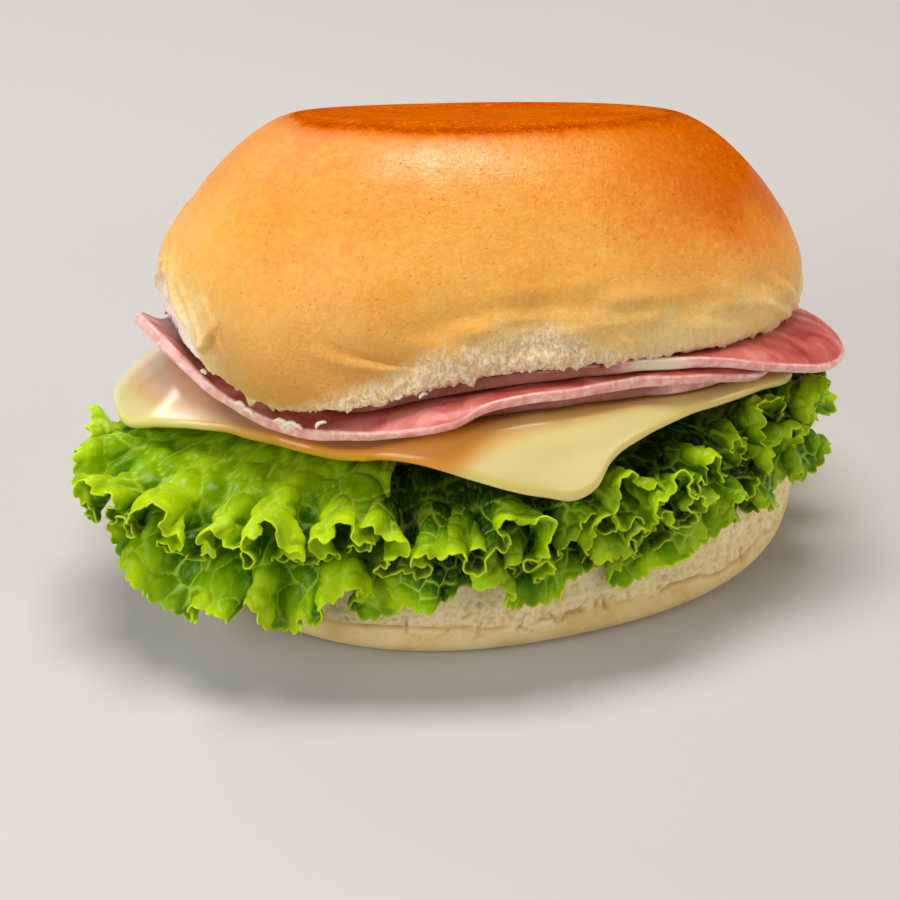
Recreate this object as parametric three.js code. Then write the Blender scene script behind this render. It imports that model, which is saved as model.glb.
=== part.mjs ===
// A ham and cheese roll: a soft oval milk roll cut in two, three slices of cooked ham, a slice of
// soft white cheese and frilled lettuce leaves. Millimetres, +Z up. The origin is the middle of the
// flat base that the lower half rests on, +X runs along the roll and -Y is the side that shows most.
import * as THREE from "three";

// The roll
const ROLL_HALF_LENGTH = 61;
const ROLL_HALF_WIDTH = 52;
const ROLL_SQUARENESS = 2.3; // power of the oval: 2 is an ellipse, more is boxier
const HEEL_HEIGHT = 24;
const HEEL_SLOPE = 0.08; // the cut face of the lower half falls toward the back
const CROWN_HEIGHT = 37.1;
const CROWN_STRETCH = 1.016; // the upper half is a little longer than the lower one
const CROWN_WEDGE = 0.104; // slope by which the upper half is taller at the front
const CROWN_SIDE_WEDGE = 0.036; // and at the left
const CROWN_SHIFT = 0.5; // its top lies to the right of its cut face
const CROWN_TILT = THREE.MathUtils.degToRad(-14); // the upper half leans back over the fillings
const CROWN_ROLL = THREE.MathUtils.degToRad(4.5);
const CROWN_SEAT = new THREE.Vector3(-0.5, 1, 45.7); // middle of the upper half's cut face
const SLUMP = 9.2; // the upper half hangs lower at the front left
const SLUMP_ANGLE = -2.47;
const SLUMP_WIDTH = 0.42;

// The fillings
const HAM_THICKNESS = 2.2;
const CHEESE_THICKNESS = 2.4;
const GAP = 0.45; // air between pieces that rest on each other
const HAM_SAG = [0.45, 0.7, 0.9]; // share of the cheese's sag that each ham slice follows

// The lettuce
const LEAF_THICKNESS = 0.8;
const LEAF_ROOT = -14; // how far inside the roll's edge a leaf begins
const LEAF_REACH = 66; // mean distance of the frills from the middle of the roll
const FRILL_LENGTH = 20.5;
const FRILL_HEIGHT = 5.4;
const FRILL_SHIFT = -1.2; // the crests of the frills are broad
const FLARE = 7; // length over which a leaf turns outward again at its edge
const LAP = 1.7; // how far a leaf lies above the end of its neighbour

// Grids of the faceted surfaces
const CROWN_SECTORS = 54;
const HEEL_SECTORS = 48;
const SLICE_SECTORS = 44;
const SLICE_RINGS = [0.45, 0.74, 0.94, 1.02]; // shares of the distance to the roll's edge
const LEAF_ROWS = 5;
const LEAF_STEP = 2.4; // length of a leaf's facets along its edge

// How far out from the roll's edge, and how high, the frilled edges of the leaves lie: rows of
// angle in degrees from +X toward +Y, distance and height.
const UPPER_EDGE = [
  [0, 3, 28],
  [30, 3, 26],
  [60, 3, 24],
  [90, 3, 22.5],
  [120, 3, 23],
  [150, 4, 26],
  [165, 7, 26],
  [176, 18, 27],
  [186, 25, 28],
  [200, 23, 27],
  [215, 18, 27],
  [235, 13, 28],
  [250, 11, 29],
  [270, 10, 31],
  [290, 8, 33],
  [310, 6, 35],
  [330, 5, 35],
  [345, 4, 31],
];
const MIDDLE_EDGE = [
  [0, 4, 28],
  [90, 3, 20],
  [190, 15, 24],
  [225, 10, 21],
  [250, 9, 22],
  [270, 8, 24.2],
  [300, 7, 27],
  [330, 6, 29],
];
const LOWER_EDGE = [
  [0, 3, 25],
  [90, 3, 20],
  [170, 6, 24],
  [186, 13, 21],
  [198, 21, 15.5],
  [210, 19, 13],
  [225, 12, 14],
  [240, 9, 14],
  [255, 6, 15],
  [270, 6, 16],
  [285, 6, 17],
  [300, 5, 17.5],
  [315, 5, 18.5],
  [330, 5, 20],
  [345, 4, 22],
];
// Each leaf: the edge it follows, where it starts and ends in degrees, how high its root lies above
// the lower half, whether it laps over its neighbours, where its wave of frills starts, how steeply
// its edge droops, and for a plain leaf the share of the frills that it keeps.
const LEAVES = [
  { edge: UPPER_EDGE, from: 170, to: 238, root: 6.3, lap: LAP, start: 0, droop: 0.1 },
  { edge: UPPER_EDGE, from: 230, to: 304, root: 6.3, lap: 0, start: 0, droop: 0.1 },
  { edge: UPPER_EDGE, from: 296, to: 354, root: 6.3, lap: LAP, start: 0, droop: 0.1 },
  { edge: MIDDLE_EDGE, from: 242, to: 336, root: 4.6, lap: 0, start: 0.8, droop: 0.35 },
  { edge: LOWER_EDGE, from: 184, to: 244, root: 1.3, lap: 0, start: 1.6, droop: 0.7 },
  { edge: LOWER_EDGE, from: 236, to: 300, root: 1.3, lap: LAP, start: 1.6, droop: 0.7 },
  { edge: LOWER_EDGE, from: 292, to: 368, root: 1.3, lap: 0, start: 1.6, droop: 0.7 },
  { edge: UPPER_EDGE, from: 11, to: 165, root: 1.4, lap: 0, start: 3, droop: 0.4, frill: 0.5 },
];

// The slices lie round one middle. Rows of angle in degrees and distance of the edge from there.
const SLICE_MIDDLE = new THREE.Vector3(-5, -5, 0);
const CHEESE_EDGE = [
  [0, 53],
  [40, 49],
  [70, 45],
  [110, 45],
  [135, 57],
  [148, 66],
  [157, 69],
  [167, 68],
  [177, 66.7],
  [184, 62.5],
  [191, 57.4],
  [198, 52.4],
  [205, 48],
  [215, 46.5],
  [231, 49.5],
  [241, 50.7],
  [254, 52.6],
  [265, 54],
  [270, 54.6],
  [275, 54],
  [279, 52.2],
  [284, 51.5],
  [297, 52],
  [310, 55],
  [319, 57.7],
  [329, 61.4],
  [336, 60],
  [346, 56],
];
const HAM_EDGES = [
  [
    [0, 54.5],
    [40, 53],
    [90, 42],
    [140, 46],
    [180, 43],
    [225, 43],
    [250, 41.5],
    [273, 42],
    [283, 43.5],
    [292, 46],
    [303, 52],
    [313, 59.3],
    [320, 64.6],
    [325, 68],
    [330, 70.2],
    [335, 70.5],
    [340, 67.5],
    [347, 60],
  ],
  [
    [0, 48],
    [40, 47],
    [90, 42],
    [130, 51],
    [150, 60],
    [160, 63.5],
    [168, 62.5],
    [174, 61],
    [180, 59.4],
    [188, 55.6],
    [196, 53.3],
    [204, 51.6],
    [211, 50.2],
    [221, 50.5],
    [237, 50.9],
    [247, 50],
    [253, 47.8],
    [258, 46.6],
    [266, 46],
    [280, 46.4],
    [290, 47.8],
    [302, 52.5],
    [317, 59],
    [327, 57],
    [337, 52],
  ],
  [
    [0, 50],
    [45, 50],
    [90, 40],
    [135, 46],
    [180, 45],
    [210, 42.5],
    [235, 42],
    [253, 42.2],
    [272, 42.8],
    [283, 43.5],
    [292, 46],
    [303, 50],
    [318, 53],
  ],
];

const smoothstep = THREE.MathUtils.smoothstep;
const lerp = THREE.MathUtils.lerp;

// A value read from rows of (angle, value, ...), smooth all the way round.
function ringValue(rows, degrees, column = 1) {
  const angle = THREE.MathUtils.euclideanModulo(degrees, 360);
  const count = rows.length;
  const after = rows.findIndex((row) => row[0] > angle);
  const next = after < 0 ? count : after;
  const row = (i) => {
    const turns = Math.floor(i / count);
    const values = rows[i - turns * count];
    return [values[0] + 360 * turns, values[column]];
  };
  const [before, start, end, beyond] = [row(next - 2), row(next - 1), row(next), row(next + 1)];
  const span = end[0] - start[0];
  const t = (angle - start[0]) / span;
  const slopeStart = ((end[1] - before[1]) / (end[0] - before[0])) * span;
  const slopeEnd = ((beyond[1] - start[1]) / (beyond[0] - start[0])) * span;
  const a = 2 * t ** 3 - 3 * t ** 2 + 1;
  const b = t ** 3 - 2 * t ** 2 + t;
  const d = t ** 3 - t ** 2;
  return a * start[1] + b * slopeStart + (1 - a) * end[1] + d * slopeEnd;
}

// Radius of the unit oval in the direction of an angle.
function ovalRadius(angle, power = ROLL_SQUARENESS) {
  const sum = Math.abs(Math.cos(angle)) ** power + Math.abs(Math.sin(angle)) ** power;
  return sum ** (-1 / power);
}

// A smooth bumpy field between -1 and 1 that repeats nowhere on a piece of this size.
function bumps(x, y, z, size, seed = 0) {
  const a = Math.sin(x / size + 1.7 * seed + 1.3 * Math.sin(y / size + seed));
  const b = Math.sin(y / size + 2.3 * seed + 1.1 * Math.sin(z / size + 2 * seed));
  const c = Math.sin(z / size + 0.9 * seed + 1.2 * Math.sin(x / size + 3 * seed));
  return (a + b + c) / 3;
}

// How far the upper half hangs below the plane of its cut at a point.
function slump(x, y) {
  const angle = Math.atan2(y / ROLL_HALF_WIDTH, x / ROLL_HALF_LENGTH);
  const share = Math.hypot(x / ROLL_HALF_LENGTH, y / ROLL_HALF_WIDTH) / ovalRadius(angle);
  const turn = THREE.MathUtils.euclideanModulo(angle - SLUMP_ANGLE + Math.PI, 2 * Math.PI) - Math.PI;
  return SLUMP * Math.exp(-((turn / SLUMP_WIDTH) ** 2)) * smoothstep(share, 0.3, 1);
}

// Height of the upper half's cut face, and so of the top of the fillings, above a point.
function cutHeight(x, y) {
  const lean = (y - CROWN_SEAT.y) * Math.tan(CROWN_TILT);
  const side = (x - CROWN_SEAT.x) * Math.tan(CROWN_ROLL);
  return CROWN_SEAT.z + lean - side - slump(x, y);
}

// Height of the lower half's cut face.
function heelTop(y) {
  return HEEL_HEIGHT - HEEL_SLOPE * y;
}

// How far a point lies outside the roll's oval, zero inside it.
function overhang(x, y) {
  const reach = Math.hypot(x, y);
  const angle = Math.atan2(y / ROLL_HALF_WIDTH, x / ROLL_HALF_LENGTH);
  const [across, along] = [ROLL_HALF_WIDTH * Math.sin(angle), ROLL_HALF_LENGTH * Math.cos(angle)];
  return Math.max(0, reach - ovalRadius(angle) * Math.hypot(along, across));
}

// Share from 0 to 1 by which a point faces the front side of the roll.
function frontness(x, y) {
  return smoothstep(-y / Math.hypot(x, y, 1), 0.1, 0.85);
}

// How far the cheese sags below the plane of the cut past the edge of the roll.
function sag(x, y) {
  const out = overhang(x * 1.05, y * 1.05);
  return ((out * out) / (1 + 0.1 * out)) * lerp(0.1, 0.25, frontness(x, y));
}

// Middle height of the cheese: level under the ham, then sagging over the lettuce.
function cheeseHeight(x, y) {
  const under = 3 * (HAM_THICKNESS + GAP) + GAP + CHEESE_THICKNESS / 2;
  return cutHeight(x, y) - under - sag(x, y);
}

// Middle height of a ham slice, counted from 1 under the bread to 3 on the cheese.
function hamHeight(order, x, y) {
  const rest = cutHeight(x, y) - (order - 0.5) * (HAM_THICKNESS + GAP) - GAP / 2;
  const curl = order === 2 ? 10 * smoothstep(-x, 57, 70) : 0;
  return rest - HAM_SAG[order - 1] * sag(x, y) + curl;
}

// A point of a sheet: half its thickness above or below the middle surface, square to it.
function onSheet(height, x, y, offset) {
  const step = 0.2;
  const slopeX = (height(x + step, y) - height(x - step, y)) / (2 * step);
  const slopeY = (height(x, y + step) - height(x, y - step)) / (2 * step);
  const normal = new THREE.Vector3(-slopeX, -slopeY, 1).normalize();
  return new THREE.Vector3(x, y, height(x, y)).addScaledVector(normal, offset);
}

function solidGeometry(points, index) {
  const geometry = new THREE.BufferGeometry();
  geometry.setAttribute("position", new THREE.BufferAttribute(points, 3));
  geometry.setIndex(index);
  geometry.computeVertexNormals();
  return geometry;
}

// A closed solid from a grid of columns by rows: place(u, v, side) gives the point, with side 1 on
// the upper face and -1 on the lower. Both faces are split into triangles alike.
function sheetSolid(columns, rows, place) {
  const grid = new THREE.PlaneGeometry(1, 1, columns, rows);
  const flat = grid.getAttribute("position");
  const faces = grid.getIndex().array;
  const count = flat.count;
  const points = new Float32Array(count * 6);
  for (let i = 0; i < count; i++) {
    for (const side of [1, -1]) {
      const at = place(flat.getX(i) + 0.5, 0.5 - flat.getY(i), side);
      at.toArray(points, (side === 1 ? i : i + count) * 3);
    }
  }
  const index = [];
  for (let i = 0; i < faces.length; i += 3) {
    const [a, b, c] = [faces[i], faces[i + 1], faces[i + 2]];
    index.push(a, b, c, a + count, c + count, b + count);
  }
  const rim = rimOfGrid(columns, rows);
  rim.forEach((a, i) => {
    const b = rim[(i + 1) % rim.length];
    index.push(a, a + count, b, b, a + count, b + count);
  });
  return solidGeometry(points, index);
}

// Indices of a grid's border, counterclockwise seen from above.
function rimOfGrid(columns, rows) {
  const wide = columns + 1;
  const rim = [];
  for (let r = 0; r < rows; r++) rim.push(r * wide);
  for (let c = 0; c < columns; c++) rim.push(rows * wide + c);
  for (let r = rows; r > 0; r--) rim.push(r * wide + columns);
  for (let c = columns; c > 0; c--) rim.push(c);
  return rim;
}

// A slice lying on a height field. All slices share one grid of spokes and rings, so that they
// nest, and each ends at its own edge.
function sliceSolid(edge, height, thickness, rimShare = 1) {
  const sectors = SLICE_SECTORS;
  const rings = SLICE_RINGS.length + 1;
  const half = 1 + sectors * rings;
  const at = (ring, sector) => 1 + ring * sectors + (sector % sectors);
  const points = new Float32Array(half * 6);
  const index = [];
  const put = (i, angle, reach, share) => {
    const [x, y] = [SLICE_MIDDLE.x + reach * Math.cos(angle), SLICE_MIDDLE.y + reach * Math.sin(angle)];
    onSheet(height, x, y, (thickness * share) / 2).toArray(points, i * 3);
    onSheet(height, x, y, (-thickness * share) / 2).toArray(points, (i + half) * 3);
  };
  const both = (a, b, c) => index.push(a, b, c, a + half, c + half, b + half);
  put(0, 0, 0, 1);
  for (let s = 0; s < sectors; s++) {
    const angle = (2 * Math.PI * s) / sectors;
    const reach = ringValue(edge, THREE.MathUtils.radToDeg(angle));
    SLICE_RINGS.forEach((share, ring) => {
      const inner = Math.min(share * rollReach(angle), (0.955 + 0.012 * ring) * reach);
      put(at(ring, s), angle, inner, 1);
    });
    put(at(rings - 1, s), angle, reach, rimShare);
    both(0, at(0, s), at(0, s + 1));
    for (let ring = 0; ring < rings - 1; ring++) {
      both(at(ring, s), at(ring + 1, s), at(ring + 1, s + 1));
      both(at(ring, s), at(ring + 1, s + 1), at(ring, s + 1));
    }
    const [a, b] = [at(rings - 1, s), at(rings - 1, s + 1)];
    index.push(a, a + half, b, b, a + half, b + half);
  }
  return solidGeometry(points, index);
}

// Distance from the middle of the slices to the roll's edge, close enough for laying out rings.
function rollReach(angle) {
  let reach = 0;
  for (let i = 0; i < 6; i++) {
    const [x, y] = [SLICE_MIDDLE.x + reach * Math.cos(angle), SLICE_MIDDLE.y + reach * Math.sin(angle)];
    const around = Math.atan2(y / ROLL_HALF_WIDTH, x / ROLL_HALF_LENGTH);
    const share = Math.hypot(x / ROLL_HALF_LENGTH, y / ROLL_HALF_WIDTH) / ovalRadius(around);
    reach += (1 - share) * 52;
  }
  return reach;
}

// Half a roll: a profile of (share of the oval, height) turned round the oval, then reshaped by a
// function that moves each point.
function rollSolid(profile, sectors, reshape) {
  const geometry = new THREE.LatheGeometry(profile, sectors);
  geometry.rotateX(Math.PI / 2);
  geometry.deleteAttribute("normal");
  geometry.deleteAttribute("uv");
  const position = geometry.getAttribute("position");
  const point = new THREE.Vector3();
  for (let i = 0; i < position.count; i++) {
    point.fromBufferAttribute(position, i);
    const share = Math.hypot(point.x, point.y);
    const angle = Math.round(Math.atan2(point.y, point.x) * 1e5) / 1e5;
    const radius = share * ovalRadius(angle);
    point.x = ROLL_HALF_LENGTH * radius * Math.cos(angle);
    point.y = ROLL_HALF_WIDTH * radius * Math.sin(angle);
    reshape(point, share);
    position.setXYZ(i, point.x, point.y, point.z);
  }
  geometry.computeVertexNormals();
  return geometry;
}

// Lower half: flat base, rounded lower edge, side that swells a little, and the cut face.
function heelGeometry() {
  const path = new THREE.Path();
  path.moveTo(0, 0);
  path.lineTo(0.9, 0);
  path.bezierCurveTo(0.965, 0, 1, 2.6, 1, 7.5);
  path.bezierCurveTo(1, 17, 0.985, HEEL_HEIGHT, 0.93, HEEL_HEIGHT);
  path.lineTo(0.5, HEEL_HEIGHT - 0.6);
  path.lineTo(0, HEEL_HEIGHT - 0.8);
  return rollSolid(path.getPoints(5), HEEL_SECTORS, (point, share) => {
    const side = smoothstep(share, 0.7, 0.95) * smoothstep(point.z, 0.5, 6);
    const swell = 1 + (side * 0.6 * bumps(point.x, point.y, point.z * 2, 6, 2)) / ROLL_HALF_LENGTH;
    point.z *= heelTop(point.y) / HEEL_HEIGHT;
    point.x *= swell;
    point.y *= swell;
  });
}

// Upper half: cut face, rim turned under, domed side and a crown that has sunk in the middle.
function crownGeometry() {
  const path = new THREE.Path();
  path.moveTo(0, 0.6);
  path.lineTo(0.4, 0.3);
  path.lineTo(0.6, 0.2);
  path.lineTo(0.76, 0.1);
  path.lineTo(0.95, 0);
  path.bezierCurveTo(0.985, 0.1, 1, 1.2, 1, 5);
  path.bezierCurveTo(1, 14.4, 0.727, CROWN_HEIGHT, 0.545, CROWN_HEIGHT);
  path.bezierCurveTo(0.515, CROWN_HEIGHT, 0.505, CROWN_HEIGHT - 0.9, 0.445, CROWN_HEIGHT - 0.9);
  path.lineTo(0, CROWN_HEIGHT - 1.1);
  return rollSolid(path.getPoints(5), CROWN_SECTORS, (point, share) => {
    const folds = smoothstep(22 - point.z, 0, 14) * smoothstep(share, 0.8, 0.95);
    const skin = 1.1 * folds * bumps(point.x, point.y, point.z * 1.5, 5, 4);
    const waves = 0.8 * smoothstep(share, 0.3, 0.7) * bumps(point.x, point.y, point.z, 22, 1);
    const swell = 1 + (skin + waves) / ROLL_HALF_LENGTH;
    const hang = 1 - smoothstep(point.z, 2, 26);
    point.z -= ((CROWN_WEDGE * point.y + CROWN_SIDE_WEDGE * point.x) * point.z) / CROWN_HEIGHT;
    const shift = (CROWN_SHIFT * point.z) / CROWN_HEIGHT;
    point.z -= hang * slump(point.x + CROWN_SEAT.x, point.y + CROWN_SEAT.y);
    point.x = point.x * swell * CROWN_STRETCH + shift;
    point.y *= swell;
  });
}

// Room left for a leaf under the cheese: no limit well outside the slice.
function leafCeiling(x, y) {
  const [dx, dy] = [x - SLICE_MIDDLE.x, y - SLICE_MIDDLE.y];
  const reach = Math.hypot(dx, dy);
  const edge = ringValue(CHEESE_EDGE, THREE.MathUtils.radToDeg(Math.atan2(dy, dx)));
  const inside = Math.min(1, edge / reach);
  const height = cheeseHeight(SLICE_MIDDLE.x + dx * inside, SLICE_MIDDLE.y + dy * inside);
  return height - CHEESE_THICKNESS / 2 - 1.2 + 2 * Math.max(0, reach - edge - 1.5);
}

// Middle surface of a leaf: u runs along its frilled edge, v from the root to that edge.
function leafPoint(leaf, u, v) {
  const fan = 0.5 + (u - 0.5) * lerp(0.82, 1, v); // the sides of a leaf spread from its root
  const degrees = lerp(leaf.from, leaf.to, fan);
  const edgeOut = ringValue(leaf.edge, degrees, 1);
  const edgeHeight = ringValue(leaf.edge, degrees, 2);
  const angle = THREE.MathUtils.degToRad(degrees);
  const [cos, sin] = [Math.cos(angle), Math.sin(angle)];
  const oval = ovalRadius(angle);
  const edge = new THREE.Vector2(ROLL_HALF_LENGTH * oval * cos, ROLL_HALF_WIDTH * oval * sin);
  const outward = new THREE.Vector2(cos / ROLL_HALF_LENGTH, sin / ROLL_HALF_WIDTH).normalize();

  // The path from the root, over the lower half's rim, to the frilled edge
  const top = heelTop(edge.y);
  const rootHeight = top + leaf.root;
  const path = new THREE.CubicBezierCurve(
    new THREE.Vector2(LEAF_ROOT, rootHeight),
    new THREE.Vector2(edgeOut * 0.4, rootHeight + 1),
    new THREE.Vector2(edgeOut - FLARE * Math.cos(leaf.droop), edgeHeight + FLARE * Math.sin(leaf.droop)),
    new THREE.Vector2(edgeOut, edgeHeight),
  );
  const at = path.getPoint(v);
  const along = path.getTangent(v);

  // The frills, which grow toward the edge
  const way = (angle * LEAF_REACH) / FRILL_LENGTH;
  const phase = 2 * Math.PI * way + 0.9 * Math.sin(2.1 * way + 5) + leaf.start;
  const grow = v ** 1.6 * (leaf.frill ?? 1);
  const size = FRILL_HEIGHT * (0.8 + 0.2 * Math.sin(1.9 * way + 3));
  const lift = grow * size * Math.sin(phase) + 1.3 * v ** 4 * Math.sin(2.9 * phase + leaf.start);
  const shift = FRILL_SHIFT * grow * Math.sin(2 * phase) + 0.4 * v ** 4 * Math.sin(5.8 * phase);
  at.x += (lift + leaf.lap) * -along.y;
  at.y += (lift + leaf.lap) * along.x;

  // Clear of the lower half, whose upper edge is round, and of the cheese
  const corner = 6;
  const clear = corner + leaf.root + leaf.lap + 1.15;
  const fromCorner = new THREE.Vector2(at.x + corner, at.y - top + corner);
  if (fromCorner.x > 0 && fromCorner.y > 0) fromCorner.setLength(Math.max(clear, fromCorner.length()));
  else if (fromCorner.x <= 0) fromCorner.y = Math.max(clear, fromCorner.y);
  else fromCorner.x = Math.max(clear, fromCorner.x);
  at.set(fromCorner.x - corner, fromCorner.y - corner + top);
  const place = new THREE.Vector3(edge.x + outward.x * at.x, edge.y + outward.y * at.x, at.y);
  place.x += shift * -outward.y;
  place.y += shift * outward.x;
  place.z = Math.max(3, Math.min(place.z, leafCeiling(place.x, place.y) - LAP + leaf.lap));
  return place;
}

// A leaf: half its thickness to either side of its middle surface.
function leafGeometry(leaf) {
  const length = ((leaf.to - leaf.from) / 180) * Math.PI * LEAF_REACH;
  const columns = Math.round((length / LEAF_STEP) * (leaf.frill ? 0.7 : 1));
  return sheetSolid(columns, LEAF_ROWS, (u, v, side) => {
    const row = v ** 0.8 * (1 - 0.35 * Math.abs(2 * u - 1) ** 5);
    const step = 0.004;
    const alongEdge = leafPoint(leaf, u + step, row).sub(leafPoint(leaf, u - step, row));
    const inner = leafPoint(leaf, u, Math.max(0, row - step));
    const outward = leafPoint(leaf, u, row + step).sub(inner);
    const normal = new THREE.Vector3().crossVectors(outward, alongEdge).normalize();
    return leafPoint(leaf, u, row).addScaledVector(normal, (side * LEAF_THICKNESS) / 2);
  });
}

function food(name, geometry, colour, roughness) {
  const mesh = new THREE.Mesh(
    geometry,
    new THREE.MeshStandardMaterial({ color: colour, roughness, metalness: 0 }),
  );
  mesh.name = name;
  return mesh;
}

const roll = new THREE.Group();

roll.add(food("heel", heelGeometry(), 0xe9d3a4, 0.85));

const crown = food("crown", crownGeometry(), 0xe09a3c, 0.45);
crown.position.copy(CROWN_SEAT);
crown.rotation.set(CROWN_TILT, CROWN_ROLL, 0);
roll.add(crown);

HAM_EDGES.forEach((edge, i) => {
  const slice = sliceSolid(edge, (x, y) => hamHeight(i + 1, x, y), HAM_THICKNESS);
  roll.add(food(`ham_${i + 1}`, slice, 0xe39a94, 0.4));
});
const cheese = sliceSolid(CHEESE_EDGE, cheeseHeight, CHEESE_THICKNESS, 0.55);
roll.add(food("cheese", cheese, 0xf0e3b0, 0.35));

LEAVES.forEach((leaf, i) => roll.add(food(`leaf_${i + 1}`, leafGeometry(leaf), 0x8fbc2e, 0.4)));

export default roll;
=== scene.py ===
"""A ham and cheese roll: a soft oval milk roll cut in two, three slices of cooked ham, a slice of
soft white cheese and frilled lettuce. Sizes are worked out in millimetres and turned to metres
when a piece is made. +X runs along the roll, -Y is the side that shows most and +Z is up."""

import functools
import itertools
import math

import bmesh
import bpy
import numpy as np
from mathutils import Matrix, Vector


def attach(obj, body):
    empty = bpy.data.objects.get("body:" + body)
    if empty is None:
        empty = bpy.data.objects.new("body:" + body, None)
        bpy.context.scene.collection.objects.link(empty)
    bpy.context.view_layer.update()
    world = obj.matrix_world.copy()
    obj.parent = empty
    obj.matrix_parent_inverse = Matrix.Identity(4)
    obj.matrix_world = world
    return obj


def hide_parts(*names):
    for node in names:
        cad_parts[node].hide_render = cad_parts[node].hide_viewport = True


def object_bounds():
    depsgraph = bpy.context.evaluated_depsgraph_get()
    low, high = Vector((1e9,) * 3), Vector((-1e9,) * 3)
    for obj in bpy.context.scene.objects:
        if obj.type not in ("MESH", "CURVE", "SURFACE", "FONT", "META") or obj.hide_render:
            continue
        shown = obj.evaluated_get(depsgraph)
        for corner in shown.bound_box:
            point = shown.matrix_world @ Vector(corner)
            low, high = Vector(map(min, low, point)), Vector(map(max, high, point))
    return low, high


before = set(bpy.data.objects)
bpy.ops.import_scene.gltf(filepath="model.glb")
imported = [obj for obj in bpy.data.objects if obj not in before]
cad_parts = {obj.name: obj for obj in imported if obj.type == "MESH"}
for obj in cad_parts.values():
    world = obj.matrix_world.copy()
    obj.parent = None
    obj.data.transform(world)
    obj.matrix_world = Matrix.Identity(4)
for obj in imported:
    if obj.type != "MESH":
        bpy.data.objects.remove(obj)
cad_box = [list(corner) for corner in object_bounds()]

MM = 0.001

# The roll, as the frame has it
HALF_LENGTH = 61
HALF_WIDTH = 52
SQUARENESS = 2.3
HEEL_HEIGHT = 24
HEEL_SLOPE = 0.08
HEEL_CREASE = 7.2
HEEL_CORNER = 6
CROWN_HEIGHT = 37.1
CROWN_STRETCH = 1.016
CROWN_WEDGE = 0.104
CROWN_SIDE_WEDGE = 0.036
CROWN_SHIFT = 0.5
CROWN_TILT = math.radians(-14)
CROWN_ROLL = math.radians(4.5)
CROWN_SEAT = np.array([-0.5, 1, 45.7])
SLUMP = 9.2
SLUMP_ANGLE = -2.47
SLUMP_WIDTH = 0.42

# Steps round the turned pieces
HEEL_STEPS = 900
CROWN_STEPS = 850
SLICE_STEPS = 640

# Torn crumb along the upper half's rim: angle, height and depth of the tear
CROWN_TEAR = [
    (0, 1, 0.3), (60, 2, 0.4), (120, 2.5, 0.4), (160, 3, 0.8), (170, 9, 2.4), (184, 8.5, 2.4),
    (190, 6.5, 1.9), (196, 3.5, 0.8), (200, 1, 0.3), (222, 1.2, 0.1), (231, 2.6, 0), (240, 3.4, 0),
    (250, 5.2, 0), (262, 6.4, 0), (269, 5, 0), (276, 1.8, 0.1), (290, 0.8, 0.2), (330, 1, 0.3),
]

# Folds in the upper half's skin: angle at the cut, lean in degrees a millimetre, lowest and
# highest place, height and width
CROWN_FOLDS = [
    (194, -2.0, 9, 22, 0.5, 1.3), (199, -2.0, 7, 19, 0.6, 1.1), (205, -2.1, 5, 18, 0.6, 1.4),
    (211.5, -2.2, 3, 14, 0.4, 1.0), (216, -1.6, 5, 15, 0.3, 0.8), (197.5, 0.6, 3, 10.5, 1.4, 1.0),
    (253, -2.94, 3, 10.5, 0.9, 0.8), (282, -1.2, 0, 6, 0.4, 0.7), (322, -2.4, 0, 8, 0.5, 1.0),
    (328, -1.8, 0, 12, 0.4, 1.1),
]

# Flakes at the torn rim: angle, length and how far they hang down
CRUMBS = [
    (198, 2.2, 0.3), (209.5, 2.8, 0.5), (211.5, 3.8, 0.9), (219, 3.4, 0.7), (220.5, 4.2, 1.1),
    (222.3, 2.6, 1.5), (226.5, 3.0, 1.2), (244, 2.0, 0.3), (98, 2.6, 0.4), (124, 2.4, 0.4),
]

# The fillings
HAM_THICKNESS = 2.2
CHEESE_THICKNESS = 2.4
GAP = 0.45
HAM_SAG = [0.45, 0.7, 0.9]
HAM_CURL = 10

# Angles between which the first ham slice's edge is fat, and each slice's edge has painted shade
HAM_FAT = (290, 301)
HAM_PAINTED_SHADE = [(192, 289), (0, 0), (230, 300)]

# The lettuce
LEAF_THICKNESS = 0.35
LEAF_GRAIN = 0.15
LEAF_ROWS = 50
LEAF_ROOT = -14
LEAF_REACH = 66
LEAF_CLEAR = 0.9
FRILL_LENGTH = 20.5
FRILL_HEIGHT = 5.4
FRILL_SHIFT = -1.2
FLARE = 7
LAP = 1.7

# Small frills: length, height, swing, how far in they reach, and a seed
FRILLS = [(16, 4.6, 1.5, 9.5, 31), (7.5, 1.9, 0.7, 4.5, 32)]

# How far each tier of leaves reaches past the roll, and how high: angle, reach and height
UPPER_EDGE = [
    (0, 3, 28), (30, 3, 26), (60, 3, 24), (90, 3, 22.5), (120, 3, 23), (150, 4, 26), (165, 7, 26),
    (176, 18, 27), (186, 25, 28), (200, 23, 27), (215, 18, 27), (235, 13, 28), (250, 11, 29),
    (270, 10, 31), (290, 8, 33), (310, 6, 35), (330, 5, 35), (345, 4, 31),
]
MIDDLE_EDGE = [
    (0, 4, 28), (90, 3, 20), (190, 15, 24), (225, 10, 21), (250, 9, 22), (270, 8, 24.2),
    (300, 7, 27), (330, 6, 29),
]
LOWER_EDGE = [
    (0, 3, 25), (90, 3, 20), (170, 6, 24), (186, 13, 21), (198, 21, 15.5), (210, 19, 13),
    (225, 12, 14), (240, 9, 14), (255, 6, 15), (270, 6, 16), (285, 6, 17), (300, 5, 17.5),
    (315, 5, 18.5), (330, 5, 20), (345, 4, 22),
]
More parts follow.
